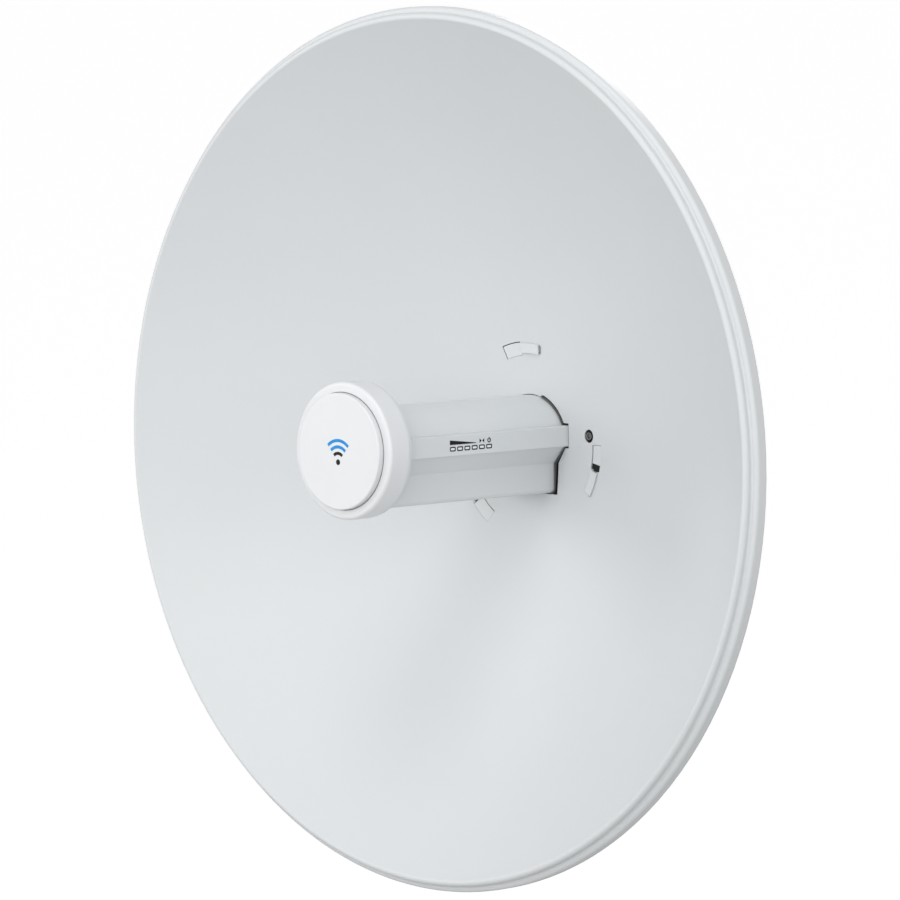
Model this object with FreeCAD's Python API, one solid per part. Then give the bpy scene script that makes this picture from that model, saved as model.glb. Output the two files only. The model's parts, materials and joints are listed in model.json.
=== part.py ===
"""Outdoor wireless bridge: a 420 mm dish radio on a tilting pole bracket.

Frame: +Z up, -Y the way the dish points, origin on the pole's axis at mid clamp height.
Units are millimetres. Each physical piece is written to its own STEP file in parts/.
"""
import FreeCAD, Part
import math
import os

V = FreeCAD.Vector

# ---- driving dimensions ----------------------------------------------------------------
POLE_R = 21.2           # 42.4 mm mast tube
HUB_Y = -105.0          # front of the dish sheet on the dish axis
DISH_R = 210.0          # outside of the rolled rim
SHEET = 0.8             # dish sheet thickness
FOCAL = 139.0           # focal length of the dish
TIP_Y = -234.5          # front of the feed's cap disc
FEED_REAR_Y = -68.0     # back end of the feed
TILT_Y, TILT_Z = -54.0, 14.0    # elevation pivot
LOCK_REACH = 30.0       # tilt lock bolt, below the pivot
TILT_LIMIT = 20.0       # degrees either way
PIVOT_R, LOCK_BOLT_R = 4.0, 3.0
FIT = 0.05              # running clearance on radius
GAP = 0.3               # gap between faces of pieces that move past each other

# dish rim, as radii and depths behind the rim's front
EDGE_R = 203.8          # where the bowl meets the rolled rim
STEP_R = 206.9          # wall between the bowl's edge and the outer bead
STEP_DEPTH = 3.6
STEP_FOOT_R, BEAD_R, HEM_R = 1.0, 2.0, 1.0      # bend radii outward from the step
RIM_DEPTH = 10.5
HEM_WIDTH = 3.5

# feed section, seen from the front: X to the right, Z up
TUBE_R, TUBE_ARC_Z = 22.7, 0.3
TUBE_SIDE_X, TUBE_SHOULDER_Z, TUBE_BOTTOM_Z = 15.8, -9.0, -23.6
TUBE_WALL = 2.0
STRIP_X, STRIP_LOW_Z, STRIP_HIGH_Z = 25.0, -0.65, 9.4
STRIP_REAR_Y = -97.0
CAP_Z = 3.3             # the cap is centred a little above the dish axis
CAP_R, DISC_R = 32.3, 27.35
CAP_SEAT_R, DISC_BOSS_R = 30.4, 20.0
DISC_PROUD, CAP_LENGTH = 3.0, 14.0
WINDOW_PITCH, WINDOW_COUNT = 4.83, 6
WINDOW_FIRST_Y, WINDOW_Z = TIP_Y + 50.5, 2.85
WINDOW_HALF_Y, WINDOW_HALF_Z = 1.45, 0.65
GUIDE_R, GUIDE_FRONT_Y = 15.5, TIP_Y + 14.0     # waveguide
BOARD_X, BOARD_SCREW_Z = 9.0, 12.5              # radio board, on the strip's side
BOARD_SCREW_YS = (-186.0, -104.0)
RESET_X, RESET_Y = 6.5, -88.0

# rear housing
FLANGE_R, FLANGE_WALL = 58.0, 3.0
BOX_X, BOX_LOW_Z, BOX_HIGH_Z, BOX_WALL = 30.0, -35.5, 33.5, 2.5
BOX_REAR_Y = -63.0
LUG_INNER_X = 25.5
GROUND_Y, GROUND_Z = -87.0, -25.0
HINGE_Y, HINGE_Z, HINGE_R = -96.0, BOX_LOW_Z - 2.6, 2.2     # port cover hinge
HINGE_PIN_R, HINGE_HALF_X, KNUCKLE_HALF_X = 1.0, 15.0, 9.3
COVER_REAR_Y = -64.6
GROMMET_Y, CABLE_R = -75.5, 3.1
LATCH_FRONT_Y, LATCH_REAR_Y = -95.0, -92.0
LATCH_SPRING_X = 12.0

# pole bracket
ARM_X, STEEL = 30.5, 3.0
ARM_FRONT_Y = -72.0
BASE_Y, BASE_HALF_X, BASE_HALF_Z = -27.0, 39.0, 26.0
CLAMP_BOLT_X, CLAMP_BOLT_R = 28.6, 4.0
EAR_FRONT_Y, EAR_REAR_Y = 9.5, 15.5      # bolt ears of the moving clamp
BOLT_END_Y = 28.3
JAW_FACE_Y = -12.0      # front of the fixed jaw
HEAD_SHIFT = 4.0        # head and yoke arms stand this much nearer to the pole than they are drawn
JAW_HALF_X, JAW_HALF_Z = 37.0, 25.0
RIVET_X, RIVET_END_Y = 14.5, -18.2

# each bayonet slot: its start and the angles of its wide and narrow parts, in degrees, then the gaps
# round the filler in the wide part: at its start, inside and outside in mm, and towards the hook
SLOTS = [(111.0, 14.5, 16.5, 0.6, 0.1, 0.5, 0.4), (1.8, 15.5, 16.1, 0.2, 0.7, 0.15, 4.0),
         (-124.3, 15.0, 16.0, 0.1, 0.5, 0.1, 0.4)]
RING_X = 1.2            # centre of the bayonet ring
WIDE_IN_R, WIDE_OUT_R = 42.2, 49.0
NARROW_IN_R, NARROW_OUT_R = 43.9, 47.6
HOOK_IN_R, HOOK_OUT_R, HOOK_RISE = 43.3, 48.2, 1.1
# hole of the dish round the feed
HOLE_WIDE_R, HOLE_CLOSE_R, HOLE_STEP_AT = 24.25, 23.1, 72.0
HOLE_SIDE_X, HOLE_LOW_Z = 18.4, -24.3
LOCK_SCREW_AT = (40.7, 5.4)
LOCK_HOLE_R, LOCK_HEAD_R, LOCK_SEAT_Y = 3.2, 2.45, HUB_Y - 0.2
GASKET = 1.1            # rubber sheet between dish and housing
LIP_PROUD = 1.7         # how far its lip stands out round the feed


# ---- shape helpers -----------------------------------------------------------------------
def box(x0, x1, y0, y1, z0, z1):
    return Part.makeBox(x1 - x0, y1 - y0, z1 - z0, V(x0, y0, z0))


def rod_x(r, x0, x1, y, z):
    return Part.makeCylinder(r, x1 - x0, V(x0, y, z), V(1, 0, 0))


def rod_y(r, y0, y1, x, z):
    return Part.makeCylinder(r, y1 - y0, V(x, y0, z), V(0, 1, 0))


def rod_z(r, z0, z1, x, y):
    return Part.makeCylinder(r, z1 - z0, V(x, y, z0), V(0, 0, 1))


def hexagon(flats, origin, along, length):
    """A hexagonal prism that starts at origin and runs along a row axis."""
    side = V(0, 0, 1) if abs(along.z) < 0.5 else V(1, 0, 0)
    other = along.cross(side)
    corner = flats / 2 / math.cos(math.pi / 6)
    points = []
    for i in range(7):
        a = i * math.pi / 3
        points.append(origin + side * (corner * math.cos(a)) + other * (corner * math.sin(a)))
    return Part.Face(Part.makePolygon(points)).extrude(along * length)


def outline_y(edges, y0, y1):
    """A prism along Y from edges drawn in the XZ plane."""
    face = Part.Face(Part.Wire(Part.__sortEdges__(edges)))
    prism = face.extrude(V(0, y1 - y0, 0))
    prism.translate(V(0, y0, 0))
    return prism


def polygon_x(points, x0, x1):
    """A prism along X from (y, z) points."""
    corners = [V(x0, y, z) for y, z in points]
    return Part.Face(Part.makePolygon(corners + corners[:1])).extrude(V(x1 - x0, 0, 0))


def arc(a, through, b):
    return Part.Arc(V(*a), V(*through), V(*b)).toShape()


def line(a, b):
    return Part.LineSegment(V(*a), V(*b)).toShape()


def ring_point(r, degrees, z=0.0):
    a = math.radians(degrees)
    return (r * math.cos(a), 0, r * math.sin(a) + z)


def sector(r0, r1, a0, a1, y0, y1):
    """A piece of a ring about the dish axis, between two angles."""
    mid = (a0 + a1) / 2
    edges = [arc(ring_point(r1, a0), ring_point(r1, mid), ring_point(r1, a1)),
             line(ring_point(r1, a1), ring_point(r0, a1)),
             arc(ring_point(r0, a1), ring_point(r0, mid), ring_point(r0, a0)),
             line(ring_point(r0, a0), ring_point(r1, a0))]
    return outline_y(edges, y0, y1)


def spin_y(edges):
    """A solid turned about the dish axis from edges in the XY plane (X is the radius)."""
    face = Part.Face(Part.Wire(Part.__sortEdges__(edges)))
    return face.revolve(V(0, 0, 0), V(0, 1, 0), 360)


def bowl_y(r, behind=0.0):
    return HUB_Y + behind - r * r / (4 * FOCAL)


def bowl_curve(r, behind):
    """The bowl's exact parabola from the axis out to r, moved back by some distance."""
    curve = Part.BezierCurve()
    curve.setPoles([V(0, HUB_Y + behind, 0), V(r / 2, HUB_Y + behind, 0), V(r, bowl_y(r, behind), 0)])
    return curve.toShape()


def bowl_layer(front, back, r):
    """The space between two copies of the bowl surface."""
    edges = [bowl_curve(r, front), line((r, bowl_y(r, front), 0), (r, bowl_y(r, back), 0)),
             bowl_curve(r, back), line((0, HUB_Y + back, 0), (0, HUB_Y + front, 0))]
    return spin_y(edges)


def join(shapes):
    shape = shapes[0].multiFuse(shapes[1:])
    return shape.removeSplitter()


def soften(shape, radius, chosen):
    """Round the edges that chosen() accepts."""
    edges = [e for e in shape.Edges if chosen(e)]
    return shape.makeFillet(radius, edges)


def runs_along(edge, axis):
    """True for a straight edge along one row axis."""
    if edge.Curve.TypeId != "Part::GeomLine":
        return False
    direction = edge.Vertexes[1].Point.sub(edge.Vertexes[0].Point).normalize()
    return abs(abs(direction.dot(axis)) - 1) < 1e-6


def tilt_point(radius, degrees):
    """A (y, z) point at some radius below the tilt pivot, turned by an angle."""
    a = math.radians(degrees)
    return TILT_Y + radius * math.sin(a), TILT_Z - radius * math.cos(a)


# ---- dish ------------------------------------------------------------------------------
def rim_edges():
    """Sheet outline from the bowl's edge round the stepped, rolled rim, and back."""
    slope = EDGE_R / (2 * FOCAL)
    length = math.hypot(1, slope)
    back_r, back_y = slope / length, 1 / length
    roll = (STEP_R - EDGE_R) / (1 + back_r)
    edge_y = bowl_y(EDGE_R)
    roll_r, roll_y = EDGE_R + back_r * roll, edge_y + back_y * roll
    front_y = roll_y - roll
    step_y = front_y + STEP_DEPTH - STEP_FOOT_R
    foot_r = STEP_R + STEP_FOOT_R
    bead_r = DISH_R - BEAD_R
    bead_y = front_y + STEP_DEPTH + BEAD_R
    hem_r, hem_y = DISH_R - HEM_R, front_y + RIM_DEPTH - HEM_R
    hem_in_r = DISH_R - HEM_WIDTH
    half = math.sqrt(0.5)

    def side(t):
        """The rim's line at t inside the outer face."""
        corner = V(EDGE_R + back_r * t, edge_y + back_y * t, 0)
        roll_in, foot_in, bead_in, hem_in = roll - t, STEP_FOOT_R + t, BEAD_R - t, HEM_R - t
        bends = [
            ((roll_r, roll_y - roll_in, 0), (roll_r + roll_in, roll_y, 0)),
            (None, (STEP_R - t, step_y, 0)),
            ((foot_r - foot_in * half, step_y + foot_in * half, 0), (foot_r, step_y + foot_in, 0)),
            (None, (bead_r, bead_y - bead_in, 0)),
            ((bead_r + bead_in * half, bead_y - bead_in * half, 0), (DISH_R - t, bead_y, 0)),
            (None, (DISH_R - t, hem_y, 0)),
            ((hem_r + hem_in * half, hem_y + hem_in * half, 0), (hem_r, hem_y + hem_in, 0)),
            (None, (hem_in_r, hem_y + hem_in, 0))]
        edges, at = [], tuple(corner)
        for through, end in bends:
            edges.append(arc(at, through, end) if through else line(at, end))
            at = end
        return edges, corner, at

    outer, _, end_out = side(0.0)
    inner, corner_in, end_in = side(SHEET)
    front = bowl_curve(EDGE_R, 0.0)
    rise = corner_in.x - (HUB_Y + SHEET - corner_in.y) / slope
    back = Part.BezierCurve()
    back.setPoles([V(0, HUB_Y + SHEET, 0), V(rise, HUB_Y + SHEET, 0), corner_in])
    ends = [line(end_out, end_in), line((0, HUB_Y, 0), (0, HUB_Y + SHEET, 0))]
    return [front, back.toShape()] + outer + inner + ends


def arc_point(r, degrees):
    """A point of a circle round the feed's axis."""
    x, _, z = ring_point(r, degrees)
    return x, 0, z + TUBE_ARC_Z


def hub_hole(grow, y0, y1):
    """The D-shaped hole round the feed: wide on the strip's side, close elsewhere, and notched."""
    wide_r, close_r = HOLE_WIDE_R + grow, HOLE_CLOSE_R + grow
    side_x, low_z = HOLE_SIDE_X + grow, HOLE_LOW_Z - grow
    notch_x = STRIP_X + 0.5 + grow
    notch_high, notch_low = STRIP_HIGH_Z + 1.1 + grow, STRIP_LOW_Z - 0.85 - grow
    right_x = math.sqrt(wide_r ** 2 - (notch_high - TUBE_ARC_Z) ** 2)
    left_x = -math.sqrt(close_r ** 2 - (notch_low - TUBE_ARC_Z) ** 2)
    shoulder_z = TUBE_SHOULDER_Z + 0.1
    points = [(right_x, 0, notch_high), (notch_x, 0, notch_high), (notch_x, 0, notch_low),
              (-left_x, 0, notch_low), (side_x, 0, shoulder_z), (side_x, 0, low_z), (-side_x, 0, low_z),
              (-side_x, 0, shoulder_z), (left_x, 0, notch_low)]
    step_in, step_out = arc_point(close_r, HOLE_STEP_AT), arc_point(wide_r, HOLE_STEP_AT)
    edges = [arc(points[-1], arc_point(close_r, 120), step_in), line(step_in, step_out),
             arc(step_out, arc_point(wide_r, 50), points[0])]
    edges += [line(a, b) for a, b in zip(points, points[1:])]
    return outline_y(edges, y0, y1)


def ring_sector(r0, r1, a0, a1):
    """A sector about the bayonet ring's centre, long enough to pass through dish and housing."""
    piece = sector(r0, r1, a0, a1, HUB_Y - 12, HUB_Y + 12)
    piece.translate(V(RING_X, 0, 0))
    return piece


def slot_cut(slot):
    """One bayonet slot of the dish: the wide part, then the narrow part."""
    start, wide, narrow = slot[:3]
    return join([ring_sector(WIDE_IN_R, WIDE_OUT_R, start - wide, start),
                 ring_sector(NARROW_IN_R, NARROW_OUT_R, start - wide - narrow, start - wide + 0.5)])


def filler(slot, grow=0.0):
    """The housing's plug in the wide part of a slot."""
    start, wide, _, gap_start, gap_in, gap_out, gap_end = slot
    side = math.degrees(grow / WIDE_OUT_R)
    return ring_sector(WIDE_IN_R + gap_in - grow, WIDE_OUT_R - gap_out + grow,
                       start - wide + gap_end - side,
                       start - math.degrees(gap_start / WIDE_OUT_R) + side)


def hook_post(slot, grow=0.0):
    """The housing's post in the narrow part of a slot, under the hook."""
    start, wide, narrow = slot[:3]
    return ring_sector(NARROW_IN_R + 0.3 - grow, NARROW_OUT_R - 0.3 + grow,
                       start - wide - narrow + 1.2 - grow, start - wide - 0.8 + grow)


def dish_reflector():
    dish = spin_y(rim_edges())
    x, z = LOCK_SCREW_AT
    cuts = [hub_hole(0.0, HUB_Y - 12, HUB_Y + 12), rod_y(LOCK_HOLE_R, HUB_Y - 12, HUB_Y + 12, x, z)]
    cuts += [slot_cut(slot) for slot in SLOTS]
    return dish.cut(cuts)


def hub_gasket():
    """A rubber sheet between dish and housing, with a lip that stands round the feed."""
    sheet = bowl_layer(SHEET + 0.02, SHEET + GASKET, FLANGE_R - 1.5)
    lip = tube_section(1.05, HUB_Y - LIP_PROUD, HUB_Y + 0.2).common(hub_hole(-0.2, HUB_Y - 3, HUB_Y + 1))
    x, z = LOCK_SCREW_AT
    cuts = [tube_section(0.55, HUB_Y - 12, HUB_Y + 12),
            rod_y(LOCK_HEAD_R + 0.1, HUB_Y - 12, HUB_Y + 12, x, z),
            box(20, STRIP_X + 0.3, HUB_Y - 12, HUB_Y + 12, STRIP_LOW_Z - 0.3, STRIP_HIGH_Z + 0.3)]
    cuts += [filler(slot, 0.05) for slot in SLOTS] + [hook_post(slot, 0.05) for slot in SLOTS]
    return join([sheet, lip]).cut(cuts)


def dish_lock_screw():
    """Its head fills the dish's hole, so that the dish can't be twisted off."""
    x, z = LOCK_SCREW_AT
    front = bowl_y(math.hypot(x, z)) - 0.1
    head = rod_y(LOCK_HEAD_R, front, LOCK_SEAT_Y, x, z)
    head = soften(head, 0.35, lambda e: e.BoundBox.YMax < front + 0.1)
    shank = rod_y(2.0, LOCK_SEAT_Y, HUB_Y + 9.0, x, z)
    socket = hexagon(2.5, V(x, front - 0.1, z), V(0, 1, 0), 1.8)
    return join([head, shank]).cut(socket)


def dish_lock_insert():
    x, z = LOCK_SCREW_AT
    body = rod_y(3.2, HUB_Y + 3.5, HUB_Y + 9.5, x, z)
    groove = rod_y(3.3, HUB_Y + 6.0, HUB_Y + 7.0, x, z).cut(rod_y(2.9, HUB_Y, HUB_Y + 10, x, z))
    return body.cut([rod_y(2.0, HUB_Y, HUB_Y + 10, x, z), groove])


# ---- feed --------------------------------------------------------------------------------
def tube_section(grow, y0, y1):
    """The feed's D-shaped section: a round top on a narrower, flat-sided foot."""
    r = TUBE_R + grow
    side_x, low_z = TUBE_SIDE_X + grow, TUBE_BOTTOM_Z - grow
    top_x = math.sqrt(r * r - (STRIP_LOW_Z - TUBE_ARC_Z) ** 2)
    shoulder_z = TUBE_SHOULDER_Z - 0.3 * grow
    points = [(top_x, 0, STRIP_LOW_Z), (side_x, 0, shoulder_z), (side_x, 0, low_z),
              (-side_x, 0, low_z), (-side_x, 0, shoulder_z), (-top_x, 0, STRIP_LOW_Z)]
    edges = [arc(points[-1], (0, 0, TUBE_ARC_Z + r), points[0])]
    edges += [line(a, b) for a, b in zip(points, points[1:])]
    solid = outline_y(edges, y0, y1)
    return soften(solid, 2.5 + grow,
                  lambda e: runs_along(e, V(0, 1, 0)) and e.BoundBox.ZMax < low_z + 0.1)


def feed_tube():
    front = TIP_Y + DISC_PROUD + CAP_LENGTH
    flange = rod_y(CAP_R - 0.4, front - 1.8, front - 0.2, 0, CAP_Z)
    seat = rod_y(CAP_SEAT_R, front - 4.4, front - 1.8, 0, CAP_Z)
    body = tube_section(0.0, front - 4.4, FEED_REAR_Y)
    pad = box(-9, 9, -97, -90, TUBE_BOTTOM_Z + 1.0, TUBE_BOTTOM_Z + 4.0)
    shell = join([flange, seat, body]).cut(tube_section(-TUBE_WALL, front - 5, FEED_REAR_Y + 1))
    shell = join([shell, pad])
    lights = box(15, 26, WINDOW_FIRST_Y - 3, WINDOW_FIRST_Y + 28, WINDOW_Z - 1.4, WINDOW_Z + 1.4)
    latch_groove = box(-7.4, 7.4, -95.2, -91.8, TUBE_BOTTOM_Z - 1, TUBE_BOTTOM_Z + 1.9)
    jack_hole = box(-7.4, 9.4, -84.4, -70.1, TUBE_BOTTOM_Z - 1, TUBE_BOTTOM_Z + TUBE_WALL + 0.5)
    reset_hole = rod_z(1.55, TUBE_BOTTOM_Z - 1, TUBE_BOTTOM_Z + TUBE_WALL + 1, RESET_X, RESET_Y)
    seal_groove = rod_y(31.0, front - 3.9, front - 2.0, 0, CAP_Z)
    seal_groove = seal_groove.cut(rod_y(29.1, front - 4, front, 0, CAP_Z))
    return shell.cut([lights, latch_groove, jack_hole, reset_hole, seal_groove])


def feed_cap():
    y0 = TIP_Y + DISC_PROUD
    y1 = y0 + CAP_LENGTH - 2.0
    cup = rod_y(CAP_R, y0, y1, 0, CAP_Z)
    cup = soften(cup, 1.6, lambda e: e.BoundBox.YMax < y0 + 0.1)
    hollow = rod_y(CAP_SEAT_R + 0.65, y0 + 2.2, y1 + 1, 0, CAP_Z)
    disc_seat = rod_y(DISC_BOSS_R + 0.2, y0 - 1, y0 + 3, 0, CAP_Z)
    return cup.cut([hollow, disc_seat])


def cap_disc():
    y0 = TIP_Y
    plate = rod_y(DISC_R, y0, y0 + DISC_PROUD, 0, CAP_Z)
    plate = soften(plate, 0.7, lambda e: e.BoundBox.YMax < y0 + 0.1)
    boss = rod_y(DISC_BOSS_R, y0 + DISC_PROUD, y0 + DISC_PROUD + 2.2, 0, CAP_Z)
    return join([plate, boss])


def cap_seal():
    front = TIP_Y + DISC_PROUD + CAP_LENGTH
    return Part.makeTorus(30.1, 0.9, V(0, front - 2.95, CAP_Z), V(0, 1, 0))


def splash_plate():
    y0 = TIP_Y + 6.2
    plate = rod_y(28.5, y0, y0 + 1.5, 0, CAP_Z)
    cone = Part.makeCone(9.0, 3.0, 4.0, V(0, y0 + 1.5, CAP_Z), V(0, 1, 0))
    groove = rod_y(24.0, y0 + 0.8, y0 + 2, 0, CAP_Z).cut(rod_y(20.0, y0, y0 + 3, 0, CAP_Z))
    return join([plate, cone]).cut(groove)


def waveguide():
    y0 = GUIDE_FRONT_Y
    tube = rod_y(GUIDE_R, y0, y0 + 24.0, 0, 0)
    step = rod_y(GUIDE_R + 0.4, y0 + 21.0, y0 + 24.0, 0, 0)
    return join([tube, step]).cut(rod_y(GUIDE_R - 0.9, y0 - 1, y0 + 22.5, 0, 0))


def dielectric_plug():
    y0, r = GUIDE_FRONT_Y, GUIDE_R - 1.0
    rod = rod_y(r, y0 - 1.0, y0 + 8.0, 0, 0)
    nose = Part.makeCone(r, 4.0, 12.0, V(0, y0 + 8.0, 0), V(0, 1, 0))
    return join([rod, nose])


def led_strip():
    """The flat-faced strip cover on the feed's side, with one hole for each light."""
    y0 = TIP_Y + DISC_PROUD + CAP_LENGTH
    bar = box(TUBE_R - 3.5, STRIP_X, y0, STRIP_REAR_Y, STRIP_LOW_Z, STRIP_HIGH_Z)
    bar = bar.cut(tube_section(0.05, y0 - 1, STRIP_REAR_Y + 1))
    bar = soften(bar, 0.6, lambda e: runs_along(e, V(0, 1, 0)) and e.BoundBox.XMin > STRIP_X - 0.1)
    return bar.cut([window(i, 0.1) for i in range(WINDOW_COUNT)])


def window(index, grow):
    """The rounded opening in front of one light."""
    y = WINDOW_FIRST_Y + index * WINDOW_PITCH
    half_y, half_z = WINDOW_HALF_Y + grow, WINDOW_HALF_Z + grow
    block = box(12.2, STRIP_X, y - half_y, y + half_y, WINDOW_Z - half_z, WINDOW_Z + half_z)
    return soften(block, 0.5, lambda e: runs_along(e, V(1, 0, 0)))


def light_pipes():
    return Part.makeCompound([window(i, 0.0) for i in range(WINDOW_COUNT)])


def radio_board():
    back_x = BOARD_X + 1.6
    board = box(BOARD_X, back_x, -195.0, -70.2, -16.5, 16.0)
    window_ys = [WINDOW_FIRST_Y + i * WINDOW_PITCH for i in range(WINDOW_COUNT)]
    leds = [box(back_x, back_x + 1.4, y - 0.8, y + 0.8, WINDOW_Z - 0.8, WINDOW_Z + 0.8) for y in window_ys]
    chips = [box(BOARD_X - 2.1, BOARD_X, y, y + 12.0, -6.0, 6.0) for y in (-146.0, -126.0)]
    holes = [rod_x(1.3, BOARD_X - 1, BOARD_X + 3, y, BOARD_SCREW_Z) for y in BOARD_SCREW_YS]
    return join([board] + leds + chips).cut(holes)


def shield_can():
    outer = box(BOARD_X - 4.4, BOARD_X, -152.0, -108.0, -11.0, 11.0)
    return outer.cut(box(BOARD_X - 4.0, BOARD_X + 0.1, -151.6, -108.4, -10.6, 10.6))


def thermal_pad():
    return box(BOARD_X - 6.4, BOARD_X - 4.4, -150.0, -110.0, -9.0, 9.0)


def heat_spreader():
    back_x = BOARD_X - 8.4
    front_x = BOARD_X - 6.4
    boss_y = BOARD_SCREW_YS[1]
    plate = box(back_x, front_x, -176.0, -100.0, -15.0, 16.5)
    ribs = [box(back_x - 3.6, back_x, -174.0, -102.0, z, z + 1.6) for z in (-13.0, -6.5, 0.0, 6.5, 13.0)]
    boss = rod_x(2.6, front_x, BOARD_X, boss_y, BOARD_SCREW_Z)
    return join([plate, boss] + ribs).cut(rod_x(1.25, 0, BOARD_X + 1, boss_y, BOARD_SCREW_Z))


def board_screws():
    screws = []
    seat_x = BOARD_X + 1.6
    for y in BOARD_SCREW_YS:
        head = rod_x(2.4, seat_x, seat_x + 1.8, y, BOARD_SCREW_Z)
        head = head.cut(hexagon(1.6, V(seat_x + 1.0, y, BOARD_SCREW_Z), V(1, 0, 0), 1))
        screws.append(join([head, rod_x(1.2, BOARD_X - 4.0, seat_x, y, BOARD_SCREW_Z)]))
    return Part.makeCompound(screws)


def ethernet_jack():
    body = box(-7.0, 9.0, -84.0, -70.5, -23.2, -2.0)
    mouth = box(-4.9, 6.9, -81.2, -73.0, -23.3, -9.0)
    key = box(-2.2, 4.2, -83.2, -81.2, -23.3, -9.0)
    contacts = [box(-3.45 + 1.27 * i, -3.05 + 1.27 * i, -74.4, -73.0, -21.0, -9.0) for i in range(8)]
    return join([body.cut([mouth, key])] + contacts)


def reset_switch():
    body = box(RESET_X - 2.1, BOARD_X, RESET_Y - 2.2, RESET_Y + 2.2, -16.6, -12.6)
    return join([body, rod_z(1.0, -17.2, -16.6, RESET_X, RESET_Y)])


def reset_button():
    stem = rod_z(1.5, TUBE_BOTTOM_Z - 0.8, -19.4, RESET_X, RESET_Y)
    return join([stem, rod_z(2.4, -19.6, -18.2, RESET_X, RESET_Y)])


def feed_end_plug():
    plate = tube_section(-0.1, FEED_REAR_Y, FEED_REAR_Y + 1.6)
    lip = tube_section(-TUBE_WALL - 0.1, FEED_REAR_Y - 1.8, FEED_REAR_Y)
    return join([plate, lip])


# ---- rear housing --------------------------------------------------------------------------
def housing_box(inset, y0, y1):
    solid = box(-BOX_X + inset, BOX_X - inset, y0, y1, BOX_LOW_Z + inset, BOX_HIGH_Z - inset)
    return soften(solid, 9.0 - inset, lambda e: runs_along(e, V(0, 1, 0)))


def bayonet_tabs():
    """In each slot, a flush filler in the wide part and a hook over the narrow part."""
    tabs = []
    root = SHEET + GASKET + 1.0
    for slot in SLOTS:
        start, wide, narrow = slot[:3]
        tabs.append(filler(slot).common(bowl_layer(0.05, root, FLANGE_R)))
        tabs.append(hook_post(slot).common(bowl_layer(-HOOK_RISE, root, FLANGE_R)))
        head = ring_sector(HOOK_IN_R, HOOK_OUT_R, start - wide - narrow + 1.0, start - wide - 0.6)
        tabs.append(head.common(bowl_layer(-HOOK_RISE, -0.15, FLANGE_R)))
    return tabs


def tilt_lug(side):
    """One cheek of the housing, which carries the pivot and the lock bolt."""
    lock_y, lock_z = tilt_point(LOCK_REACH, 0)
    y0 = BOX_REAR_Y - 6
    plate = polygon_x([(y0, 24), (TILT_Y, TILT_Z + 9), (TILT_Y + 9, TILT_Z), (lock_y + 7, lock_z),
                       (lock_y, lock_z - 7), (y0, -26)], LUG_INNER_X, BOX_X)
    lug = join([plate, rod_x(9.0, LUG_INNER_X, BOX_X, TILT_Y, TILT_Z),
                rod_x(7.0, LUG_INNER_X, BOX_X, lock_y, lock_z)])
    return lug if side > 0 else lug.mirror(V(0, 0, 0), V(1, 0, 0))


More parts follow.
